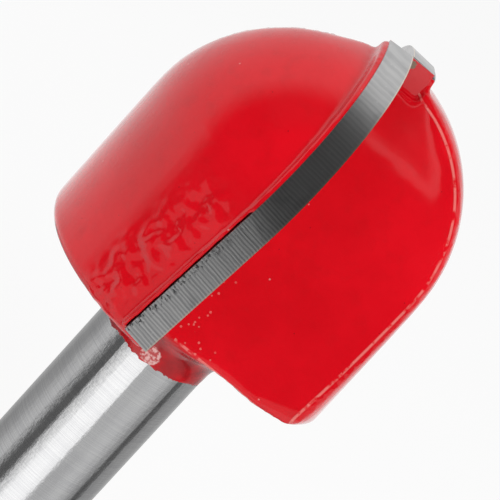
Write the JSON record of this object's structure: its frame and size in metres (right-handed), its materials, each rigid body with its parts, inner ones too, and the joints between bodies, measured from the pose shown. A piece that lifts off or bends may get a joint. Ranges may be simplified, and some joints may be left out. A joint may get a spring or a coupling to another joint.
{
  "type": "u-groove router bit",
  "caption": "Round-nose router bit for U-shaped grooves: a steel shank and painted winged head with brazed carbide cutting plates.",
  "frame": {"origin": "centre of the shank's end face, where the bit stands", "axes": "+Z along the shank to the cutting tip; the cutting edge shown in the picture faces -Y and cuts towards +X"},
  "size_m": [0.035, 0.038, 0.0754],
  "materials": {
    "steel_body": "glossy red paint on the head, bare ground steel on the shank",
    "carbide": "ground tungsten carbide"
  },
  "bodies": {
    "root": {"steel_body": "steel_body", "carbide_plate_1": "carbide", "carbide_plate_2": "carbide"}
  },
  "joints": []
}
